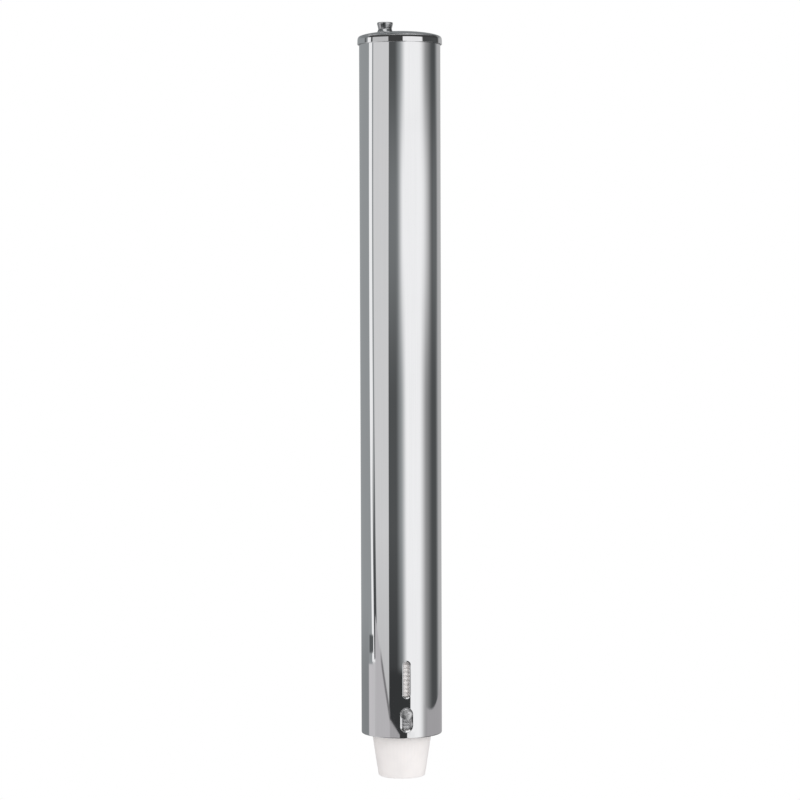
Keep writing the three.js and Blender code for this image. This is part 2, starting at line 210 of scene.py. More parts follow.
def chained(*lines):
    points = np.concatenate([line[0] for line in lines])
    normals = np.concatenate([line[1] for line in lines])
    return points, normals


# %% [markdown]
# ## Effects that several materials share
# Drawn and rolled sheet has faint lines along its run, hands and cloths leave broad soft
# marks, and pressed small parts are finely mottled. Each effect is one node group that
# puts out a mask, and each material takes those that it needs, with its own amounts.

# %% Node helpers
def group(name, inputs, outputs, kind="ShaderNodeTree"):
    """A new tree, what it is given and what it puts out; a socket is (label, kind, default)."""
    tree = bpy.data.node_groups.new(name, kind)
    for way, sockets in (("INPUT", inputs), ("OUTPUT", outputs)):
        for label, socket_kind, *default in sockets:
            socket = tree.interface.new_socket(label, in_out=way, socket_type=socket_kind)
            if default:
                socket.default_value = default[0]
    return tree, tree.nodes.new("NodeGroupInput").outputs, tree.nodes.new("NodeGroupOutput").inputs


def give(tree, node, inputs):
    """Each input takes a plain value or another node's output."""
    for label, value in inputs.items():
        if isinstance(value, bpy.types.NodeSocket):
            tree.links.new(value, node.inputs[label])
        else:
            node.inputs[label].default_value = value


def add(tree, kind, inputs, **settings):
    node = tree.nodes.new(kind)
    for setting, value in settings.items():
        setattr(node, setting, value)
    give(tree, node, inputs)
    return node


def math_node(tree, operation, first, second=None, clamp=False):
    inputs = {0: first} if second is None else {0: first, 1: second}
    return add(tree, "ShaderNodeMath", inputs, operation=operation, use_clamp=clamp).outputs[0]


def ranged(tree, value, low, high, to_low=0.0, to_high=1.0, smooth=True):
    inputs = {"Value": value, "From Min": low, "From Max": high, "To Min": to_low, "To Max": to_high}
    steps = "SMOOTHSTEP" if smooth else "LINEAR"
    return add(tree, "ShaderNodeMapRange", inputs, interpolation_type=steps).outputs[0]


def blended(tree, factor, first, second):
    """Two colours mixed by a mask."""
    first, second = ((*c, 1) if isinstance(c, tuple) else c for c in (first, second))
    inputs = {0: factor, 6: first, 7: second}
    return add(tree, "ShaderNodeMix", inputs, data_type="RGBA").outputs[2]


def bumped(tree, height, strength, distance):
    inputs = {"Height": height, "Strength": strength, "Distance": distance}
    return add(tree, "ShaderNodeBump", inputs).outputs["Normal"]


def object_point(tree):
    return tree.nodes.new("ShaderNodeTexCoord").outputs["Object"]


def effect(tree, kind, point, values):
    """The mask of a shared effect, with this material's own values."""
    return add(tree, "ShaderNodeGroup", {"Point": point} | values, node_tree=kind).outputs["Mask"]


def new_material(name):
    material = bpy.data.materials.new(name)
    material.use_nodes = True
    return material, material.node_tree, material.node_tree.nodes["Principled BSDF"]


# %% Lines along the run of the sheet
SCALAR = "NodeSocketFloat"
POINT = ("Point", "NodeSocketVector")
MASK = ("Mask", SCALAR)
drawn_lines, given, result = group(
    "drawn_lines",
    [POINT, ("Fineness", SCALAR, 900.0), ("Stretch", SCALAR, 0.02), ("Sharpness", SCALAR, 0.5)],
    [MASK],
)
stretch = add(drawn_lines, "ShaderNodeCombineXYZ", {0: 1.0, 1: 1.0, 2: given["Stretch"]})
factors = {0: given["Point"], 1: stretch.outputs[0]}
squeezed = add(drawn_lines, "ShaderNodeVectorMath", factors, operation="MULTIPLY").outputs[0]
noise = {"Vector": squeezed, "Scale": given["Fineness"], "Detail": 3.0}
fibres = add(drawn_lines, "ShaderNodeTexNoise", noise)
low_edge = math_node(drawn_lines, "MULTIPLY", given["Sharpness"], 0.5)
high_edge = math_node(drawn_lines, "SUBTRACT", 1.0, low_edge)
mask = ranged(drawn_lines, fibres.outputs["Fac"], low_edge, high_edge)
drawn_lines.links.new(mask, result["Mask"])

# %% Broad marks of hands and cloths
soft_marks, given, result = group(
    "soft_marks", [POINT, ("Size", SCALAR, 18.0), ("Coverage", SCALAR, 0.5)], [MASK]
)
noise = {"Vector": given["Point"], "Scale": given["Size"]}
noise |= {"Detail": 4.0, "Roughness": 0.55, "Distortion": 0.4}
cloud = add(soft_marks, "ShaderNodeTexNoise", noise)
start = math_node(soft_marks, "SUBTRACT", 0.85, given["Coverage"])
stop = math_node(soft_marks, "ADD", start, 0.35)
soft_marks.links.new(ranged(soft_marks, cloud.outputs["Fac"], start, stop), result["Mask"])

# %% Fine mottle of pressed parts
pressed_mottle, given, result = group("pressed_mottle", [POINT, ("Fineness", SCALAR, 1400.0)], [MASK])
grains = {"Vector": given["Point"], "Scale": given["Fineness"], "Smoothness": 0.6}
cells = add(pressed_mottle, "ShaderNodeTexVoronoi", grains, feature="SMOOTH_F1")
mask = ranged(pressed_mottle, cells.outputs["Distance"], 0.1, 0.8)
pressed_mottle.links.new(mask, result["Mask"])
print("shared effects:", drawn_lines.name, soft_marks.name, pressed_mottle.name)


# %% [markdown]
# ## Metals
# All the metal is stainless steel, but each piece was finished its own way: the tube and
# lid are polished nearly to a mirror, the turned knob, the spring strip and the rivets are
# duller, and the brackets and screws are satin. One maker builds them all from the same
# three effects, so that they look like one family under the same light.

# %% One maker for every steel
DULLER = 0.92


def steel(name, colour, roughness, lines, marks, mottle, bump):
    """lines, marks and mottle are (amount, fineness, ...) of the shared effects."""
    material, tree, shader = new_material(name)
    point = object_point(tree)
    amounts = (lines[0], marks[0], mottle[0])
    masks = (
        effect(tree, drawn_lines, point, {"Fineness": lines[1], "Stretch": lines[2]}),
        effect(tree, soft_marks, point, {"Size": marks[1], "Coverage": marks[2]}),
        effect(tree, pressed_mottle, point, {"Fineness": mottle[1]}),
    )
    parts = [math_node(tree, "MULTIPLY", mask, amount) for mask, amount in zip(masks, amounts)]
    total = math_node(tree, "ADD", parts[0], parts[1])
    total = math_node(tree, "ADD", total, parts[2], clamp=True)
    duller = tuple(c * DULLER for c in colour)
    height = math_node(tree, "ADD", parts[0], parts[2])
    finish = {
        "Metallic": 1.0,
        "Roughness": ranged(tree, total, 0.0, 1.0, *roughness, smooth=False),
        "Base Color": blended(tree, total, colour, duller),
        "Normal": bumped(tree, height, *bump),
    }
    give(tree, shader, finish)
    return material


polished_steel = steel(
    "polished_steel", (0.790, 0.792, 0.800), (0.008, 0.028),
    lines=(0.35, 700.0, 0.012), marks=(0.45, 9.0, 0.35), mottle=(0.08, 1500.0), bump=(0.05, 0.00002),
)
bracket_steel = steel(
    "bracket_steel", (0.66, 0.67, 0.68), (0.24, 0.46),
    lines=(0.7, 1600.0, 0.02), marks=(0.3, 30.0, 0.4), mottle=(0.15, 1200.0), bump=(0.25, 0.00004),
)
rivet_steel = steel(
    "rivet_steel", (0.72, 0.73, 0.74), (0.18, 0.4),
    lines=(0.15, 2400.0, 0.4), marks=(0.4, 60.0, 0.5), mottle=(0.5, 1800.0), bump=(0.3, 0.00003),
)
turned_steel = steel(
    "turned_steel", (0.58, 0.585, 0.59), (0.1, 0.24),
    lines=(0.2, 1500.0, 1.0), marks=(0.5, 120.0, 0.5), mottle=(0.45, 1500.0), bump=(0.2, 0.00004),
)
spring_steel = steel(
    "spring_steel", (0.70, 0.70, 0.71), (0.16, 0.36),
    lines=(0.6, 1800.0, 0.03), marks=(0.35, 50.0, 0.4), mottle=(0.2, 1600.0), bump=(0.2, 0.00003),
)
screw_steel = steel(
    "screw_steel", (0.77, 0.77, 0.775), (0.28, 0.5),
    lines=(0.1, 2000.0, 0.5), marks=(0.4, 80.0, 0.5), mottle=(0.6, 1500.0), bump=(0.4, 0.00005),
)
print("steels:", [m.name for m in (polished_steel, bracket_steel, rivet_steel)])

# %% [markdown]
# ## Cup plastic
# A vending cup is a thin, slightly cloudy thermoformed plastic: light goes a little way
# into it, and the forming leaves faint cloudy patches and a fine grain. Subsurface light
# with a short reach gives the milky look.

# %% The plastic of the cups
cup_plastic, tree, shader = new_material("cup_plastic")
point = object_point(tree)
haze = effect(tree, soft_marks, point, {"Size": 45.0})
grain = add(tree, "ShaderNodeTexNoise", {"Vector": point, "Scale": 900.0, "Detail": 3.0}).outputs["Fac"]
clear, cloudy = (0.905, 0.895, 0.885), (0.870, 0.862, 0.855)
finish = {
    "IOR": 1.47,
    "Subsurface Weight": 0.1,
    "Subsurface Radius": (1.0, 0.95, 0.9),
    "Subsurface Scale": 0.0005,
    "Base Color": blended(tree, haze, clear, cloudy),
    "Roughness": ranged(tree, grain, 0.3, 0.7, 0.36, 0.5),
    "Normal": bumped(tree, grain, 0.15, 0.00005),
}
give(tree, shader, finish)
print("plastic:", cup_plastic.name)

# %% [markdown]
# ## The tube
# The tube is one thin sheet, drawn round, with its lower edge folded inwards and the
# edges of its window and openings pressed inwards by a punch. So it is drawn flat, as
# points (along the wall, height, depth below the outer face), and then rolled up. Round
# each hole the points lie on rays from its middle line, and a cross-section of the
# pressed edge is laid along every ray.

# %% Rolling a flat sheet into the tube
def rolled(along, height, depth, slope_along, slope_height, outward):
    """Flat points and their normals, rolled round the axis; along 0 is the front."""
    angle = along / TUBE_RADIUS
    radius = TUBE_RADIUS - depth
    sine, cosine = np.sin(angle), np.cos(angle)
    points = np.stack([radius * sine, -radius * cosine, height], axis=-1)
    across = slope_along * cosine + outward * sine
    inwards = slope_along * sine - outward * cosine
    normals = np.stack([across, inwards, slope_height + 0 * across], axis=-1)
    return points, normals / np.linalg.norm(normals, axis=-1, keepdims=True)


COLUMNS = 288
COLUMN = 2 * math.pi * TUBE_RADIUS / COLUMNS
PATCH_HALF = 12
HEM_RADIUS, HEM_TOP = 38.4, 3.6
TOP_ROW = TUBE_LENGTH - 1
OPENING_HALF, OPENING_SPINE = 4.6, (12.4, 24.0)
WINDOW_HALF, WINDOW_SPINE = 3.05, (43.45, 72.75)
SHARED_ROW = 33.0
WINDOW_ROW = 82.0
LOW_ROWS = np.linspace(HEM_TOP, SHARED_ROW, 21)
WINDOW_ROWS = np.linspace(SHARED_ROW, WINDOW_ROW, 29)
print(f"one column is {COLUMN:.2f} mm wide")

# %% [markdown]
# Each pressed edge is one short chain of (distance from the hole's edge, depth). It runs
# along the sheet's outer face, round the cut edge and back along the inner face, and a
# smooth curve through it is sampled.

# %% Cross-section of a pressed edge
def smooth_chain(knots, per_span=3):
    """A Catmull-Rom curve through the knots."""
    knots = np.array(knots, float)
    padded = np.vstack([2 * knots[0] - knots[1], knots, 2 * knots[-1] - knots[-2]])
    out = []
    for k in range(1, len(padded) - 2):
        a, b, c, d = padded[k - 1 : k + 3]
        for t in np.arange(per_span) / per_span:
            bend = (2 * a - 5 * b + 4 * c - d) * t**2 + (3 * b - a - 3 * c + d) * t**3
            out.append(0.5 * (2 * b + (c - a) * t + bend))
    out.append(knots[-1])
    return np.array(out)


OPENING_EDGE = [
    (6.0, 0.0), (3.6, 0.0), (2.2, 0.0), (1.85, 0.0), (1.65, 0.04),
    (1.4, 0.16), (1.1, 0.325), (0.7, 0.545), (0.35, 0.74), (0.1, 0.92),
    (0.0, 1.1), (0.0, 1.4), (0.08, 1.6), (0.3, 1.66), (0.62, 1.62),
    (1.0, 1.45), (1.5, 1.16), (2.1, 0.88), (2.8, 0.8), (6.0, 0.8),
]
WINDOW_EDGE = [
    (6.0, 0.0), (3.6, 0.0), (1.5, 0.0), (1.1, 0.0), (0.96, 0.03),
    (0.75, 0.15), (0.5, 0.3), (0.25, 0.45), (0.07, 0.6), (0.0, 0.9),
    (0.04, 1.2), (0.25, 1.34), (0.6, 1.22), (1.1, 0.98), (1.8, 0.82),
    (3.0, 0.8), (6.0, 0.8),
]


def hole_patch(centre, rows, half_width, spine_low, spine_high, edge_chain):
    """Rays from the hole's middle line out to the patch's border, with the edge on each."""
    side = PATCH_HALF * COLUMN
    across = np.linspace(-side, side, 2 * PATCH_HALF + 1)
    border = [(a, rows[0]) for a in across]
    border += [(side, h) for h in rows[1:]]
    border += [(a, rows[-1]) for a in across[::-1][1:]]
    border += [(-side, h) for h in rows[::-1][1:]]
    border = np.array(border)
    spine = np.stack(
        [np.zeros(len(border)), np.clip(border[:, 1], spine_low, spine_high)], axis=1
    )
    reach = np.linalg.norm(border - spine, axis=1)
    ray = (border - spine) / reach[:, None]
    chain = smooth_chain(edge_chain)
    tangent = np.gradient(chain, axis=0)
    face = np.stack([-tangent[:, 1], tangent[:, 0]], axis=1)
    face /= np.linalg.norm(face, axis=1)[:, None]

    def border_row(depth, outward):
        return rolled(border[:, 0] + centre, border[:, 1], depth, 0.0, 0.0, outward)

    strips = [border_row(0.0, 1.0)]
    for (away, depth), (n_away, n_depth) in zip(chain, face):
        from_spine = np.minimum(half_width + away, reach)
        along, height = (spine + ray * from_spine[:, None]).T
        slope_along, slope_height = (n_away * ray).T
        strips.append(rolled(along + centre, height, depth, slope_along, slope_height, -n_depth))
    strips.append(border_row(TUBE_WALL, -1.0))
    return tuple(np.array(part) for part in zip(*strips))


# %% Plain walls between the patches
def plain_wall(first_column, last_column, rows, depth, outward):
    along = np.arange(first_column, last_column + 1) * COLUMN
    grid_along, grid_height = np.meshgrid(along, rows)
    return rolled(grid_along, grid_height, depth, 0.0, 0.0, outward)


third = COLUMNS // 3
tube_patches = []
for index in range(3):
    centre = index * third
    tube_patches.append(
        hole_patch(centre * COLUMN, LOW_ROWS, OPENING_HALF, *OPENING_SPINE, OPENING_EDGE)
    )
    start, stop = centre + PATCH_HALF, centre + third - PATCH_HALF
    for depth, outward in ((0.0, 1.0), (TUBE_WALL, -1.0)):
        tube_patches.append(plain_wall(start, stop, LOW_ROWS, depth, outward))
tube_patches.append(hole_patch(0, WINDOW_ROWS, WINDOW_HALF, *WINDOW_SPINE, WINDOW_EDGE))
for depth, outward in ((0.0, 1.0), (TUBE_WALL, -1.0)):
    tube_patches.append(
        plain_wall(PATCH_HALF, COLUMNS - PATCH_HALF, WINDOW_ROWS, depth, outward)
    )
    tall = np.linspace(WINDOW_ROW, TOP_ROW, 13)
    tube_patches.append(plain_wall(0, COLUMNS, tall, depth, outward))


# %% [markdown]
# The hem is the same sheet folded up inside itself. Its chain runs from the inner wall
# down round the fold and up the outer wall, and it is spun like any turned profile.

# %% Hem and upper edge
hem = rounded(
    [
        (BORE_RADIUS, HEM_TOP, 0), (BORE_RADIUS, 2.62, 0.08), (HEM_RADIUS, 2.5, 0.3),
        (HEM_RADIUS, 0.0, 0.75), (TUBE_RADIUS, 0.0, 0.85), (TUBE_RADIUS, HEM_TOP, 0),
    ],
    steps=6,
)
top_edge = rounded(
    [
        (TUBE_RADIUS, TOP_ROW, 0), (TUBE_RADIUS, TUBE_LENGTH, 0.3),
        (BORE_RADIUS, TUBE_LENGTH, 0.3), (BORE_RADIUS, TOP_ROW, 0),
    ]
)
tube_patches += [turned(hem, COLUMNS), turned(top_edge, COLUMNS)]
tube = skin("polished_tube", tube_patches, polished_steel)
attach(tube, "housing")
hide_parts("outer_tube")

# %% [markdown]
# ## The lid
# The lid is spun from one disc: a low elliptical dome, a tight groove where the dome
# meets the skirt, and a skirt folded back on itself at its lower edge. The skirt leans
# out a little towards its foot, which lets the lid slide on easily.

# %% Lid
lid_low, lid_high = node_heights("lid")
SKIRT_OUTER, SKIRT_INNER = 41.75, 40.5
DOME_RISE, UNDER_RISE = 6.3, 5.4
SKIRT_TOP = lid_high - DOME_RISE
LEAN = 0.2
DOME_RADIUS = 41.3


def lid_line():
    upright, start = math.pi / 2, math.atan(DOME_RISE / DOME_RADIUS)
    dome_points, dome_facing = ellipse_arc(DOME_RADIUS, DOME_RISE, SKIRT_TOP, start, upright, 40)
    under_points, under_facing = ellipse_arc(SKIRT_INNER, UNDER_RISE, SKIRT_TOP, upright, 0.0, 30)
    dome_points[-1, 0] = 0
    under_points[0, 0] = 0
    groove = DOME_RADIUS - 1.1
    skirt = rounded(
        [
            (SKIRT_INNER, SKIRT_TOP, 0),
            (SKIRT_INNER, lid_low, 0.5),
            (SKIRT_OUTER, lid_low, 0.5),
            (SKIRT_OUTER - LEAN, SKIRT_TOP - 1.5, 3.6),
            (DOME_RADIUS, SKIRT_TOP + 0.05, 0.03),
            (groove, SKIRT_TOP - 0.15, 0.1),
            (groove, SKIRT_TOP + 0.6, 0.1),
            tuple(dome_points[0] - (0.1, 0.1)) + (0.05,),
            tuple(dome_points[0]) + (0,),
        ],
        steps=8,
    )
    under = (under_points, -under_facing)
    return chained(under, skirt, (dome_points, dome_facing))


lid = skin("spun_lid", [turned(lid_line(), 256)], polished_steel)
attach(lid, "lid")
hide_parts("lid")

# %% [markdown]
# ## The knob
# A small turned spool stands off the middle of the lid. It narrows below its crown, where
# its side looks down at the lid and stays dark, and flares at its foot, which catches light.

# %% Knob
knob_low, knob_high = node_heights("lid_knob")
knob_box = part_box("lid_knob")
knob_centre = ((knob_box[0].x + knob_box[1].x) / 2 - AXIS.x) / MM, 0.0
FRAME_DOME_RADIUS = 41.35
dome_at_knob = SKIRT_TOP + DOME_RISE * math.sqrt(1 - (knob_centre[0] / FRAME_DOME_RADIUS) ** 2)
KNOB_RADIUS, KNOB_WAIST, KNOB_FOOT = 7.8, 6.6, 7.6


def knob_line():
    foot, top = dome_at_knob + 0.4, knob_high
    waist = [(KNOB_FOOT, foot, 0), (KNOB_WAIST, foot + 2.6, 1.4), (KNOB_RADIUS, top - 1.5, 0)]
    base = [
        (0, knob_low, 0), (KNOB_RADIUS, knob_low, 0.1),
        (KNOB_RADIUS, foot - 0.3, 0.1), (KNOB_FOOT, foot - 0.02, 0),
    ]
    crown = [
        (KNOB_RADIUS, top - 1.4, 0), (KNOB_RADIUS, top - 0.45, 0.35),
        (KNOB_RADIUS - 0.5, top, 0.35), (0, top, 0),
    ]
    return chained(rounded(base), rounded(waist, steps=10), rounded(crown, steps=6))


knob = skin("turned_knob", [turned(knob_line(), 96, knob_centre)], turned_steel)
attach(knob, "lid")
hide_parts("lid_knob")

# %% [markdown]
# ## One cup
# The cup is formed from thin sheet: a tapered wall with fine upright flutes that stiffen
# it, a rolled rim bead, and a base that is pushed up a little so that the cup stands on
# its edge. The wall is a formula of angle and height, so it is computed as a grid.

# %% Cup wall
cup_low, cup_high = node_heights("bottom_cup")
CUP_HEIGHT = cup_high - cup_low
BEAD_RADIUS = 35.53
TAPER = math.tan(math.radians(8.62))
CUP_BASE = BEAD_RADIUS - 1 - TAPER * (CUP_HEIGHT - 2.6)
CUP_WALL = 0.36
FLUTES, FLUTE_DEPTH = 48, 0.05
STACKED, NESTING_PITCH = 10, 4.2


def cup_line():
    def wall(height):
        return CUP_BASE + TAPER * height

    outside = [
        (0, 1.0, 0),
        (CUP_BASE - 6.5, 1.0, 1.5),
        (CUP_BASE - 5.0, 0.35, 1.2),
        (CUP_BASE - 2.2, 0.0, 0.8),
        (wall(0.0) - 0.1, 0.0, 1.3),
        (wall(9.0), 9.0, 0),
    ]
    outside += [(wall(h), h, 0) for h in np.linspace(12, 66, 10)]
    outside += [
        (wall(CUP_HEIGHT - 5), CUP_HEIGHT - 5, 0.8),
        (wall(CUP_HEIGHT - 2.9), CUP_HEIGHT - 2.75, 0.25),
        (BEAD_RADIUS, CUP_HEIGHT - 2.6, 0.7),
        (BEAD_RADIUS, CUP_HEIGHT, 0.9),
        (wall(CUP_HEIGHT) - 0.4, CUP_HEIGHT, 0.4),
        (wall(CUP_HEIGHT - 4) - CUP_WALL, CUP_HEIGHT - 4, 0),
    ]
    inside = [(wall(h) - CUP_WALL, h, 0) for h in np.linspace(66, 12, 10)]
    inside += [
        (wall(3.0) - CUP_WALL, 3.0, 0),
        (wall(0.5) - 0.4, 0.55, 1.1),
        (CUP_BASE - 2.3, 0.5, 0.8),
        (CUP_BASE - 4.9, 0.8, 1.0),
        (CUP_BASE - 6.4, 1.4, 1.2),
        (0, 1.4, 0),
    ]
    return rounded(outside + inside, steps=4)


def cup_patch(lift):
    grid, facing = turned(cup_line(), FLUTES * 4)
    height = grid[..., 2]
    angle = np.arctan2(grid[..., 0], -grid[..., 1])
    fade = np.clip((height - 9) / 8, 0, 1) * np.clip((CUP_HEIGHT - 12 - height) / 8, 0, 1)
    wave = FLUTE_DEPTH * fade * (np.abs(np.cos(FLUTES * angle / 2)) - 0.6)
    radius = np.hypot(grid[..., 0], grid[..., 1])
    scale = 1 + wave / np.maximum(radius, 1)
    grid[..., 0] *= scale
    grid[..., 1] *= scale
    grid[..., 2] += lift
    return grid, facing


bottom_cup = skin("hanging_cup", [cup_patch(cup_low)], cup_plastic, soft_normals=False)
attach(bottom_cup, "bottom_cup")
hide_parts("bottom_cup")

# %% [markdown]
# ## The nested stack
# The cups above repeat the first at one nesting pitch, each turned its own way, since
# nobody lines them up. Geometry Nodes place them: a line of points, an instance on each
# with a seeded turn, then real geometry, because the stack is one piece on one body.

# %% A tree that nests cups
GEOMETRY = ("Geometry", "NodeSocketGeometry")


def geometry_tree(name, inputs):
    return group(name, [GEOMETRY, *inputs], [GEOMETRY], kind="GeometryNodeTree")


def point_line(tree, count, start, offset):
    """A line of points going up."""
    first = add(tree, "ShaderNodeCombineXYZ", {2: start}).outputs[0]
    between = add(tree, "ShaderNodeCombineXYZ", {2: offset}).outputs[0]
    inputs = {"Count": count, "Start Location": first, "Offset": between}
    return add(tree, "GeometryNodeMeshLine", inputs).outputs["Mesh"]


def on_points(tree, points, source, angle):
    """The source object on every point, turned about Z."""
    inputs = {
        "Points": points,
        "Instance": add(tree, "GeometryNodeObjectInfo", {"Object": source}).outputs["Geometry"],
        "Rotation": add(tree, "ShaderNodeCombineXYZ", {2: angle}).outputs[0],
    }
    return add(tree, "GeometryNodeInstanceOnPoints", inputs).outputs["Instances"]


def made_real(tree, instances, material, result):
    """The end of a tree: real geometry in its own material."""
    realize = add(tree, "GeometryNodeRealizeInstances", {"Geometry": instances})
    inputs = {"Geometry": realize.outputs["Geometry"], "Material": material}
    paint = add(tree, "GeometryNodeSetMaterial", inputs)
    tree.links.new(paint.outputs["Geometry"], result["Geometry"])


def applied(piece):
    """The mesh of a piece after its modifiers, which are then removed."""
    evaluated = piece.evaluated_get(bpy.context.evaluated_depsgraph_get())
    mesh = bpy.data.meshes.new_from_object(evaluated)
    piece.modifiers.clear()
    piece.data = mesh
    return mesh


def grown(name, tree, values):
    """Runs the tree on an empty mesh and keeps the result as a plain mesh."""
    seed = linked(name, bpy.data.meshes.new(name))
    modifier = seed.modifiers.new("grow", "NODES")
    modifier.node_group = tree
    sockets = {s.name: s.identifier for s in tree.interface.items_tree if s.in_out == "INPUT"}
    for label, value in values.items():
        modifier[sockets[label]] = value
    mesh = applied(seed)
    mesh.name = name
    print(f"{name}: {len(mesh.polygons)} faces from Geometry Nodes")
    return seed


nesting, given, result = geometry_tree(
    "nested_cups",
    [
        ("Cup", "NodeSocketObject"),
        ("Count", "NodeSocketInt"),
        ("Pitch", SCALAR),
        ("Plastic", "NodeSocketMaterial"),
    ],
)
any_turn = {2: -math.pi, 3: math.pi, "Seed": 7}
turn = add(nesting, "FunctionNodeRandomValue", any_turn, data_type="FLOAT").outputs[1]
levels = point_line(nesting, given["Count"], given["Pitch"], given["Pitch"])
cups = on_points(nesting, levels, given["Cup"], turn)
made_real(nesting, cups, given["Plastic"], result)

# %% [markdown]
# An instance turns about its source's origin, so the pattern cup is drawn about the world
# axis and the grown stack is moved onto the tube's axis afterwards.

# %% Stack
pattern_cup = skin("pattern_cup", [cup_patch(0.0)], cup_plastic, soft_normals=False)
pattern_cup.data.transform(Matrix.Translation(-AXIS))
stack = grown(
    "nested_stack",
    nesting,
    {"Cup": pattern_cup, "Count": STACKED, "Pitch": NESTING_PITCH * MM, "Plastic": cup_plastic},
)
stack.data.transform(Matrix.Translation(AXIS + Vector((0, 0, cup_low * MM))))
bpy.data.objects.remove(pattern_cup)
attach(stack, "cup_stack")
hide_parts(*[f"stack_cup_{level:02d}" for level in range(1, 11)])

# %% [markdown]
# ## Adjusters
# Behind each opening sits a pressed plate with cross ribs, which a fingertip pushes up or
# down, and a domed cross-head screw clamps it. The plate's front is a height field: flat
# sheet with rounded ribs in its middle, which repeat at one pitch.

# %% Ribbed plate
plate_low, plate_high = node_heights("adjuster_plate_1")
PLATE_FRONT = 38.05
RIB_HEIGHT = 0.6
RIB_PITCH = 3.65
RIB_HALF, PLATE_HALF, PLATE_SHEET = 3.5, 10, 0.5
SCREW_HEIGHT = OPENING_SPINE[1]


def plate_patches():
    across = np.linspace(-PLATE_HALF, PLATE_HALF, 81)
    heights = np.linspace(plate_low, plate_high, 106)
    grid_across, grid_height = np.meshgrid(across, heights)
    count = int((plate_high - plate_low) / RIB_PITCH)
    position = (grid_height - plate_low) / RIB_PITCH
    inside = (position < count).astype(float)
    arch = np.clip(1 - ((position % 1 - 0.5) / 0.45) ** 2, 0, 1) ** 0.5 * inside
    ends = np.clip((RIB_HALF - np.abs(grid_across)) / 0.5, 0, 1)
    hole = np.hypot(grid_across, grid_height - SCREW_HEIGHT)
    neck = np.clip((3.6 - hole) / 0.4, 0, 1)
    rise = np.maximum(arch * ends * (3 - 2 * ends) * ends, neck) * RIB_HEIGHT
    distance = PLATE_FRONT - RIB_HEIGHT + rise
    front = np.stack([grid_across, -distance, grid_height], axis=-1)
    slope_up, slope_across = np.gradient(rise, heights, across)
    front_facing = np.stack([-slope_across, -np.ones_like(rise), -slope_up], axis=-1)
    front_facing /= np.linalg.norm(front_facing, axis=-1, keepdims=True)
    back = front.copy()
    back[..., 1] = -(PLATE_FRONT - RIB_HEIGHT - PLATE_SHEET)
    back_facing = np.zeros_like(back)
    back_facing[..., 1] = 1
    patches = [(front, front_facing), (back, back_facing)]
    for rows, columns, facing in (
        (0, slice(None), (0, 0, -1)),
        (-1, slice(None), (0, 0, 1)),
        (slice(None), 0, (-1, 0, 0)),
        (slice(None), -1, (1, 0, 0)),
    ):
        side = np.stack([front[rows, columns], back[rows, columns]])
        patches.append((side, np.broadcast_to(np.array(facing, float), side.shape)))
    return patches


# %% Pieces that are cut, and pieces that repeat round the tube
def about_axis(patches, angle):
    """The same patches turned about the tube's axis."""
    sine, cosine = math.sin(angle), math.cos(angle)
    spin = np.array([[cosine, -sine, 0], [sine, cosine, 0], [0, 0, 1]])
    return [(p @ spin.T, n @ spin.T) for p, n in patches]


def facing_front(patches, height):
    """Patches drawn about Z, laid down so that their axis points out of the front."""
    lay = np.array([[1, 0, 0], [0, 0, -1], [0, 1, 0]], float)
    lift = np.array([0, 0, height])
    return [(p @ lay.T + lift, n @ lay.T) for p, n in patches]


def prism(name, outline, near, far, taper=1.0):
    """A closed bar between two distances in front of the axis; outline is in (x, h)."""
    outline = np.array(outline + outline[:1], float)
    middle = outline[:-1].mean(axis=0)
    rows = []
    for scale, away in ((0, near), (taper, near), (1, far), (0, far)):
        ring = middle + (outline - middle) * scale
        rows.append(np.stack([ring[:, 0], np.full(len(ring), -away), ring[:, 1]], axis=-1))
    grid = np.array(rows)
    centre = np.array([middle[0], -(near + far) / 2, middle[1]])
    return skin(name, [(grid, grid - centre)], screw_steel, soft_normals=False)


def cut_by(piece, cutters, bevel=None):
    """The piece with the cutters taken out and, where asked, its new edges bevelled."""
    for cutter in cutters:
        modifier = piece.modifiers.new(cutter.name, "BOOLEAN")
        modifier.object = cutter
        modifier.solver = "EXACT"
    if bevel:
        modifier = piece.modifiers.new("bevel", "BEVEL")
        modifier.width, modifier.segments = bevel * MM, 3
        modifier.limit_method = "ANGLE"
        modifier.angle_limit = math.radians(40)
    mesh = applied(piece)
    mesh.shade_smooth()
    mesh.set_sharp_from_angle(angle=math.radians(32))
    for cutter in cutters:
        bpy.data.objects.remove(cutter)
    return piece


# %% Clamp screw with a cross recess
HEAD_SEAT, HEAD_RADIUS, HEAD_RISE = 39.75, 5.7, 1.6
SHAFT_RADIUS, SHAFT_END = 2.4, 36.4


def screw_line():
    under = HEAD_SEAT - 0.65
    shaft = [(0, SHAFT_END, 0), (SHAFT_RADIUS, SHAFT_END, 0.3), (SHAFT_RADIUS, under, 0.1), (4.2, under, 0)]
    seat = [(4.3, under, 0), (5.6, HEAD_SEAT - 0.05, 0)]
    rim = [(5.66, HEAD_SEAT, 0), (HEAD_RADIUS, HEAD_SEAT + 0.06, 0)]
    dome = ellipse_arc(HEAD_RADIUS, HEAD_RISE, HEAD_SEAT, 0.08, math.pi / 2, 26)
    dome[0][-1, 0] = 0
    return chained(rounded(shaft), rounded(seat), rounded(rim), dome)


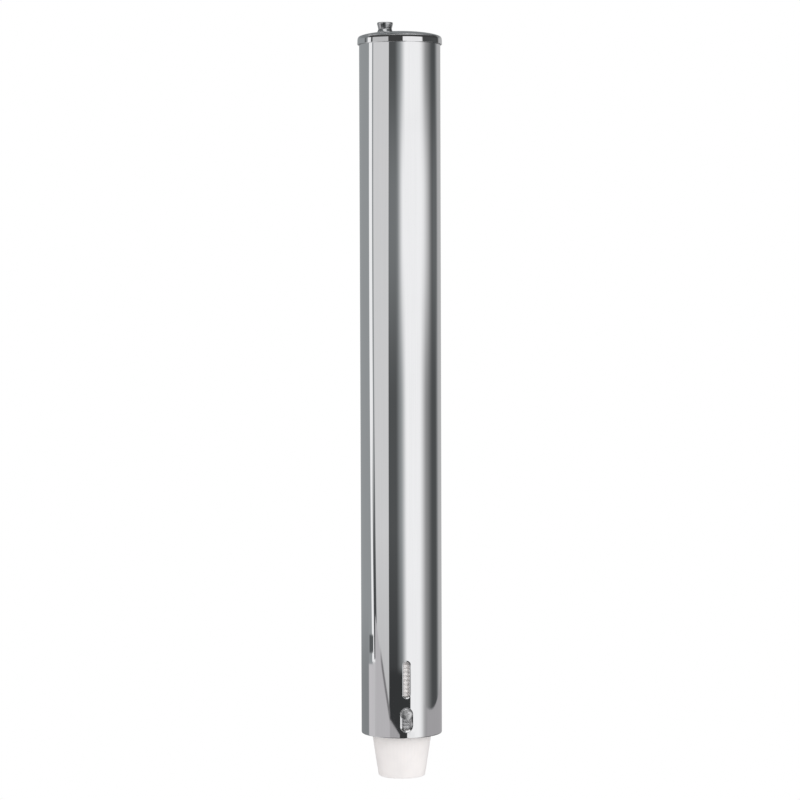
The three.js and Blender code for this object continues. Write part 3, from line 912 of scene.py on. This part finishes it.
def cross_screw(name, angle):
    patches = facing_front([turned(screw_line(), 72)], SCREW_HEIGHT)
    screw = skin(name, patches, screw_steel, soft_normals=False)
    half, reach = 0.6, 3.0
    bars = []
    for k, (a, b) in enumerate(((reach, half), (half, reach))):
        outline = [
            (sx * a, SCREW_HEIGHT + sy * b) for sx, sy in ((-1, -1), (1, -1), (1, 1), (-1, 1))
        ]
        bars.append(prism(f"{name}_bar_{k}", outline, HEAD_SEAT + 0.6, HEAD_SEAT + 4, 0.8))
    screw = cut_by(screw, bars)
    screw.data.transform(
        Matrix.Translation(AXIS) @ Matrix.Rotation(angle, 4, "Z") @ Matrix.Translation(-AXIS)
    )
    return screw


for index in range(3):
    angle = 2 * math.pi * index / 3
    number = index + 1
    plate = skin(f"ribbed_plate_{number}", about_axis(plate_patches(), angle), spring_steel)
    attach(plate, f"adjuster_{number}")
    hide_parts(f"adjuster_plate_{number}")
    screw = cross_screw(f"domed_screw_{number}", angle)
    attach(screw, f"clamp_{number}")
    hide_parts(f"clamp_screw_{number}")

# %% [markdown]
# ## Holding fingers and the knob's screw
# The leaf springs and the screw under the lid have the right shape in the frame already:
# plain strip and a plain head. They stay as they are and only take their finish.

# %% Finish on the frame's own nodes
for name in [f"holding_finger_{k}" for k in (1, 2, 3)] + ["lid_knob_screw"]:
    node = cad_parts[name]
    node.data.materials.clear()
    node.data.materials.append(bracket_steel if name == "lid_knob_screw" else spring_steel)
    print("finished:", name)

# %% [markdown]
# ## Wall brackets
# Each bracket is one strap, bent round a former: two curved flanges that lie on the back
# of the tube, two short webs and a flat pad on the wall with a keyhole in it. The strap's
# middle line is a rounded chain in plan, offset to both sides by half the sheet.

# %% Bracket
WALL_DISTANCE = 50.0
STRAP = 2.0
FLANGE = np.radians(np.linspace(52, 34.8, 12))
MOUNT_ABOVE = 10
HEAD_HOLE, HEAD_ABOVE = 4.75, 14
NECK_HOLE, NECK_ABOVE = 2.6, 24


def strap_patches(low, high):
    radius, web = TUBE_RADIUS + 0.3 + STRAP / 2, 22.0
    plan = []
    for t in FLANGE:
        plan.append((radius * math.sin(t), radius * math.cos(t), 0))
    plan.append((web, math.sqrt(radius**2 - web**2), 2.5))
    plan.append((web, WALL_DISTANCE - STRAP / 2, 3.0))
    plan += [(-x, y, r) for x, y, r in plan[::-1]]
    points, sideways = rounded(plan, steps=8)
    rows = []
    for height, side in ((low, 1), (high, 1), (high, -1), (low, -1), (low, 1)):
        flat = points + sideways * side * STRAP / 2
        rows.append(np.column_stack([flat, np.full(len(flat), height)]))
    grid = np.array(rows)
    middle = np.column_stack([points, np.full(len(points), (low + high) / 2)])
    patches = [(grid, grid - middle[None])]
    for end in (0, -1):
        corner = grid[:4, end]
        cap = np.array([[corner[0], corner[1]], [corner[3], corner[2]]])
        inward = points[1 if end == 0 else -2] - points[end]
        out = np.broadcast_to(np.array([-inward[0], -inward[1], 0.0]), cap.shape)
        patches.append((cap, out))
    return patches


def keyhole_cutters(name, mount):
    circle = [
        (HEAD_HOLE * math.cos(t), mount + HEAD_ABOVE + HEAD_HOLE * math.sin(t))
        for t in np.linspace(0, 2 * math.pi, 40, endpoint=False)
    ]
    arc = np.linspace(0, math.pi, 17)
    neck = [(NECK_HOLE * math.cos(t), mount + NECK_ABOVE + NECK_HOLE * math.sin(t)) for t in arc]
    neck += [(NECK_HOLE * math.cos(t), mount + HEAD_ABOVE - NECK_HOLE * math.sin(t)) for t in arc[::-1]]
    near, far = -WALL_DISTANCE - 2, -WALL_DISTANCE + 4
    return [prism(f"{name}_head", circle, near, far), prism(f"{name}_neck", neck, near, far)]


for name in ("upper_wall_bracket", "lower_wall_bracket"):
    low, high = node_heights(name)
    strap = skin(f"{name}_strap", strap_patches(low, high), bracket_steel, soft_normals=False)
    strap = cut_by(strap, keyhole_cutters(name, low + MOUNT_ABOVE), bevel=0.25)
    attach(strap, "housing")
    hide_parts(name)

# %% [markdown]
# ## Rivets
# Four domed rivets hold each bracket. A tree sets them out: a short upright line of
# points, one rivet on each, and the whole row turned to both sides of the back.

# %% Rows of rivets
rivet_rows, given, result = geometry_tree(
    "rivet_rows",
    [
        ("Rivet", "NodeSocketObject"),
        ("Count", "NodeSocketInt"),
        ("First height", SCALAR),
        ("Spacing", SCALAR),
        ("Half angle", SCALAR),
        ("Steel", "NodeSocketMaterial"),
    ],
)
row = point_line(rivet_rows, given["Count"], given["First height"], given["Spacing"])
both_sides = rivet_rows.nodes.new("GeometryNodeJoinGeometry")
for sign in (1.0, -1.0):
    side_turn = math_node(rivet_rows, "MULTIPLY", given["Half angle"], sign)
    placed = on_points(rivet_rows, row, given["Rivet"], side_turn)
    rivet_rows.links.new(placed, both_sides.inputs[0])
made_real(rivet_rows, both_sides.outputs[0], given["Steel"], result)
RIVET_SPACING, RIVET_ANGLE = 24, 44


def rivet_line():
    tail, face = 38.9, 42.6
    shank = rounded(
        [(0, tail - 0.8, 0), (2.5, tail - 0.8, 0.35), (2.5, tail, 0.1), (1.5, tail, 0)]
    )
    collar = rounded([(1.5, tail + 0.05, 0), (1.5, face, 0.05), (2.9, face, 0)])
    head = ellipse_arc(3.0, 1.2, face, 0.0, math.pi / 2, 10)
    head[0][-1, 0] = 0
    return chained(shank, collar, head)


back = np.diag([-1.0, -1.0, 1.0])
rivet_patches = [(p @ back, n @ back) for p, n in facing_front([turned(rivet_line(), 24)], 0)]
pattern_rivet = skin("pattern_rivet", rivet_patches, rivet_steel, soft_normals=False)
pattern_rivet.data.transform(Matrix.Translation(-AXIS))
for name, first in (("upper", 1), ("lower", 5)):
    foot = (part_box(f"bracket_rivet_{first}")[0].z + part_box(f"bracket_rivet_{first}")[1].z) / 2
    rivets = grown(
        f"{name}_rivets",
        rivet_rows,
        {
            "Rivet": pattern_rivet,
            "Count": 2,
            "First height": foot - AXIS.z,
            "Spacing": RIVET_SPACING * MM,
            "Half angle": math.radians(RIVET_ANGLE),
            "Steel": rivet_steel,
        },
    )
    rivets.data.transform(Matrix.Translation(AXIS))
    rivets.data.set_sharp_from_angle(angle=math.radians(32))
    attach(rivets, "housing")
    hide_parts(*[f"bracket_rivet_{k}" for k in range(first, first + 4)])
bpy.data.objects.remove(pattern_rivet)

# %% [markdown]
# ## The studio
# Polished metal has no colour of its own to speak of: it shows its surroundings. So the
# studio is part of the picture. It is drawn in the world as a set of cards, given by
# azimuth from the front and elevation, with soft or crisp sides: white and grey panels,
# dark flags between them, a grey ceiling and a pale floor. A card can lean, its sides
# moving along with elevation, and its foot and head can tilt or bow with azimuth.

# %% A card on the studio's wall
COLOUR = "NodeSocketColor"
SHAPE = ("Lean", "Curl", "Tilt", "Bow")
EDGES = [f"{side} {end}" for side in ("Left", "Right", "Bottom", "Top") for end in ("from", "to")]
studio_card, given, result = group(
    "studio_card",
    [("Behind", COLOUR), ("Azimuth", SCALAR), ("Elevation", SCALAR)]
    + [("Foot colour", COLOUR), ("Head colour", COLOUR)]
    + [(label, SCALAR, 0.0) for label in (*SHAPE, *EDGES)],
    [("Colour", COLOUR)],
)


def card_math(operation, first, second):
    return math_node(studio_card, operation, first, second)


leaning = card_math("MULTIPLY", given["Elevation"], given["Curl"])
leaning = card_math("ADD", leaning, given["Lean"])
leaning = card_math("MULTIPLY", leaning, given["Elevation"])
sideways = card_math("ADD", given["Azimuth"], leaning)
bowed = card_math("MULTIPLY", given["Azimuth"], given["Bow"])
bowed = card_math("ADD", bowed, given["Tilt"])
bowed = card_math("MULTIPLY", bowed, given["Azimuth"])
upward = card_math("ADD", given["Elevation"], bowed)
mask = 1.0
for edge, angle in (("Left", sideways), ("Right", sideways), ("Bottom", upward), ("Top", upward)):
    within = ranged(studio_card, angle, given[f"{edge} from"], given[f"{edge} to"])
    if edge in ("Right", "Top"):
        within = card_math("SUBTRACT", 1.0, within)
    mask = card_math("MULTIPLY", mask, within)
fall = ranged(studio_card, given["Elevation"], -9.6, -5.6, smooth=False)
own = blended(studio_card, fall, given["Foot colour"], given["Head colour"])
covered = blended(studio_card, mask, given["Behind"], own)
studio_card.links.new(covered, result["Colour"])

# %% [markdown]
# Each card is an entry of the table below: a name, its level at the foot and higher up,
# its tone, where its left and right sides start and end to fade, the same for bottom and
# top, and how it leans, curls, tilts and bows. Later cards stand in front of earlier ones.

# %% The cards
GREY, COOL = (1.0, 1.0, 1.005), (0.95, 1.0, 1.02)
ROSE, FILL = (1.02, 0.995, 1.02), (1.03, 0.99, 0.985)


def shade(level, tone=GREY):
    return tuple(level * c for c in tone)


DEEP, NONE = (-60, -50), (0, 0, 0, 0)
GLOW = (-3, 1), (1.6, 5)
CARDS = [
    # name, foot, head, tone, left, right, bottom, top, (lean, curl, tilt, bow)
    ("left wall foot", 0.28, 0.28, COOL, (-181, -179), (-118, -112), (-40, -30), (-9, -7), NONE),
    ("right rear wall", 0.50, 0.50, GREY, (104, 137), (179, 181), (-40, -30), (9, 12), NONE),
    ("front ceiling", 0.06, 0.06, GREY, (-103, -99), (118, 130), (6.2, 7), (34, 38), NONE),
    ("overhead", 1.1, 1.1, GREY, (-92, -86), (-28, -23), (31, 35), (84, 88), (-1, 0, 0, 0)),
    ("upper panel", 1.02, 1.02, GREY, (0.9, 2.1), (54, 62), DEEP, (10.4, 11.6), (0, 0, -0.2, 0.004)),
    ("right flag", 0.085, 0.092, COOL, (60, 64), (107.5, 129.5), DEEP, (6.2, 11), (0.2, 0, 0, 0)),
    ("right glow", 0.16, 0.16, COOL, (90, 104), (112, 126), *GLOW, NONE),
    ("right haze", 0.40, 0.40, GREY, (30, 40), (60, 98), DEEP, (6.2, 7), (-0.28, 0, 0, 0)),
    ("left flag", 0.045, 0.10, COOL, (-60, -59), (-2, 12), DEEP, (6.2, 7), NONE),
    ("left glow", 0.21, 0.21, COOL, (-60, -59), (0, 12), *GLOW, NONE),
    ("left haze", 0.20, 0.36, COOL, (-22, -4), (0, 20), (-30, -20), (6.2, 7), NONE),
    ("front panel", 1.08, 1.08, GREY, (-8.4, 11.6), (30, 40), DEEP, (6.2, 7), (0.1, 0, 0, 0)),
    ("front panel's side", 1.08, 1.08, GREY, (20, 30), (46.5, 72.5), DEEP, (6.2, 7), (-0.35, 0, 0, 0)),
    ("front bulge", 1.08, 1.08, GREY, (-16.5, 4.5), (42, 102), *GLOW, NONE),
    ("left panel", 0.60, 0.75, GREY, (-96, -94), (-41.6, -40.1), (-30, -20), (6.2, 7),
     (-0.49, -0.029, 0, 0)),
    ("upper left panel", 0.61, 0.61, GREY, (-96, -94), (-38.8, -37.2), (6.2, 7), (12, 14), NONE),
    ("left gap", 0.08, 0.32, COOL, (-97, -96), (-90.2, -89), (-8.4, -8.36), (6.2, 7), (0.1, -0.11, 0, 0)),
    ("strip lamp", 1.1, 1.05, GREY, (-108, -106.4), (-95.2, -94), (-8.46, -8.42), (6.2, 7),
     (-0.05, -0.11, 0, 0)),
    ("low gap", 0.06, 0.10, COOL, (-99.4, -98.6), (-90.2, -89.4), (-8.4, -8.36), (-6.5, -2.5),
     (-0.05, -0.11, 0, 0)),
    ("skirt gap", 0.10, 0.10, COOL, (-93, -92), (-87, -85.5), (6.2, 7), (12, 14), NONE),
    ("skirt strip", 1.05, 1.05, GREY, (-105, -104), (-93, -92), (6.2, 7), (12, 14), NONE),
    ("skirt edge", 0.15, 0.15, COOL, (-118.5, -117), (-111, -109.5), (6.2, 7), (12, 14), NONE),
    ("strip floor", 0.64, 0.64, ROSE, (-118, -112), (-92, -90), (-30, -20), (-8.5, -8.46), NONE),
    ("lamp fitting", 0.12, 0.12, COOL, (-113, -111), (-96.5, -94.5), (-8.27, -8.21), (-7.88, -7.82), NONE),
    ("left floor", 0.56, 0.56, ROSE, (-89, -87), (-39, -38), (-30, -20), (-11.54, -11.46),
     (0, 0, 0.0465, 0)),
    ("streak", 0.22, 0.22, ROSE, (-73, -64), (-38.5, -36.5), (-11.74, -11.56),
     (-11.46, -11.28), (0, 0, 0.0465, 0)),
    ("low flag", 0.045, 0.045, COOL, (-41, -39.5), (17.5, 19), DEEP, (-8.75, -8.5), NONE),
    ("left corner", 0.44, 0.42, ROSE, (-42, -40.5), (-13.4, -11.8), (-30, -20),
     (-10.18, -10.14), (0, 0, 0.0119, 0)),
    ("right corner", 1.0, 1.0, GREY, (7.4, 9.4), (28, 32), DEEP, (-9.96, -9.92), NONE),
    ("right floor", 0.42, 0.42, ROSE, (54, 76), (179, 181), (-30, -20), (-8.22, -8.15),
     (0, 0, 0.0307, -0.000185)),
    ("dark floor", 0.04, 0.04, COOL, (-42, -38), (10, 16), (-88, -80), (-10.6, -10.2), NONE),
    ("dim floor", 0.10, 0.10, COOL, (-78, -74), (-42, -38), (-88, -80), (-11.2, -10.6), NONE),
    ("rear floor", 0.05, 0.05, COOL, (98, 104), (180, 181), (-91, -90.5), (-13, -11), NONE),
    ("rear floor's end", 0.05, 0.05, COOL, (-181, -180), (-168, -160), (-91, -90.5), (-13, -11), NONE),
]

# %% The world
world = bpy.data.worlds.new("studio")
bpy.context.scene.world = world
world.use_nodes = True
tree = world.node_tree
tree.nodes.clear()
looking = tree.nodes.new("ShaderNodeTexCoord").outputs["Generated"]
split = add(tree, "ShaderNodeSeparateXYZ", {0: looking})
to_front = math_node(tree, "MULTIPLY", split.outputs[1], -1.0)
azimuth = math_node(tree, "ARCTAN2", split.outputs[0], to_front)
azimuth = math_node(tree, "MULTIPLY", azimuth, 180 / math.pi)
elevation = math_node(tree, "ARCSINE", split.outputs[2])
elevation = math_node(tree, "MULTIPLY", elevation, 180 / math.pi)
ceiling = ranged(tree, elevation, 8.0, 16.0)
wall_colour = blended(tree, ceiling, shade(0.36, COOL), shade(0.24, COOL))
ground = ranged(tree, elevation, -24.0, -12.0)
colour = blended(tree, ground, shade(0.72), wall_colour)
for name, foot, head, tone, left, right, bottom, top, shape in CARDS:
    inputs = {"Behind": colour, "Azimuth": azimuth, "Elevation": elevation}
    inputs |= {"Foot colour": (*shade(foot, tone), 1), "Head colour": (*shade(head, tone), 1)}
    inputs |= dict(zip(SHAPE, shape))
    inputs |= dict(zip(EDGES, (*left, *right, *bottom, *top)))
    colour = add(tree, "ShaderNodeGroup", inputs, node_tree=studio_card, label=name).outputs["Colour"]
print("studio cards:", len(CARDS))

# %% [markdown]
# Metal sees the cards. Matt surfaces get an even, plain fill instead, a little stronger
# from the left, and the camera sees a white background.

# %% Who sees what
def background(shown):
    shown = (*shown, 1) if isinstance(shown, tuple) else shown
    return add(tree, "ShaderNodeBackground", {0: shown}).outputs[0]


def seen_by(ray, otherwise, then):
    return add(tree, "ShaderNodeMixShader", {0: ray, 1: otherwise, 2: then}).outputs[0]


rays = tree.nodes.new("ShaderNodeLightPath")
rightward = ranged(tree, split.outputs[0], -1.0, 1.0, smooth=False)
fill = blended(tree, rightward, shade(0.96, FILL), shade(0.93, FILL))
surface = seen_by(rays.outputs["Is Diffuse Ray"], background(colour), background(fill))
surface = seen_by(rays.outputs["Is Camera Ray"], surface, background((1.0, 1.0, 1.0)))
add(tree, "ShaderNodeOutputWorld", {"Surface": surface})

# %% [markdown]
# One lamp in front, to the right and a little above, lights the cups, and a narrow spot
# from the same side reaches the cups behind the level window. Neither shows in the
# polished metal. The floor is a pale disc well below the cup.

# %% Lamps and floor
def lamp(name, kind, energy, place, target):
    """A lamp that points at its target and doesn't show in polished metal."""
    data = bpy.data.lights.new(name, kind)
    data.energy = energy
    made = linked(name, data)
    made.location = place
    made.visible_glossy = False
    made.rotation_euler = (target - made.location).to_track_quat("-Z", "Y").to_euler()
    return data


softbox = lamp("side_softbox", "AREA", 9.0, Vector((0.98, -2.1, 0.3)), Vector((0, AXIS.y, AXIS.z)))
softbox.shape = "RECTANGLE"
softbox.size, softbox.size_y = 0.5, 1.0
window = AXIS + Vector((0, -0.04, 0.058))
spot = lamp("window_spot", "SPOT", 1.6, window + Vector((0.28, -0.53, 0.05)), window)
spot.spot_size, spot.spot_blend = math.radians(9), 0.6
spot.shadow_soft_size = 0.015

floor_material, tree, shader = new_material("pale_floor")
marks = effect(tree, soft_marks, object_point(tree), {"Size": 2.0})
floor_tone = blended(tree, marks, (0.86, 0.86, 0.86), (0.88, 0.88, 0.88))
give(tree, shader, {"Roughness": 0.9, "Base Color": floor_tone})
FLOOR_HEIGHT, FLOOR_RADIUS = -650.0, 2000
around = np.linspace(0, 2 * math.pi, 97)
disc = np.zeros((2, 97, 3))
disc[1, :, 0] = FLOOR_RADIUS * np.sin(around)
disc[1, :, 1] = FLOOR_RADIUS * np.cos(around)
disc[..., 2] = FLOOR_HEIGHT
up = np.zeros_like(disc)
up[..., 2] = 1
floor = skin("pale_floor", [(disc, up)], floor_material, soft_normals=False)
floor.visible_glossy = False
floor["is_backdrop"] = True

# %% [markdown]
# ## The camera
# The rims of the lid and of the tube's mouth show as flat ellipses of opposite curve,
# which fixes the camera's height, and the window's place on the tube fixes its azimuth:
# 7 degrees to the left of the front, 2.6 m away, level with a point two thirds up the tube.

# %% Camera
AZIMUTH, PITCH, ROLL = math.radians(-7.0), math.radians(-2.749), math.radians(-0.18)
OFF_AXIS = math.radians(0.0165)
DISTANCE, EYE = 2.602, 0.456
camera_data = bpy.data.cameras.new("camera")
camera_data.sensor_width = 36.0
camera_data.lens = 118.3
camera_data.clip_start, camera_data.clip_end = 0.05, 50.0
camera = linked("camera", camera_data)
forward = Vector((-math.sin(AZIMUTH), math.cos(AZIMUTH), 0))
camera.location = Vector((AXIS.x, AXIS.y, AXIS.z + EYE)) - forward * DISTANCE
ahead = Matrix.Rotation(OFF_AXIS, 3, "Z") @ forward
look = (ahead * math.cos(PITCH) + Vector((0, 0, math.sin(PITCH)))).normalized()
side = look.cross(Vector((0, 0, 1))).normalized()
upright = side.cross(look)
pose = Matrix((side, upright, -look)).transposed()
camera.rotation_euler = (pose @ Matrix.Rotation(ROLL, 3, "Z")).to_euler()
bpy.context.scene.camera = camera
bpy.context.scene.view_settings.view_transform = "Standard"

low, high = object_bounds()
print("visual", [round(v, 4) for v in (*low, *high)])
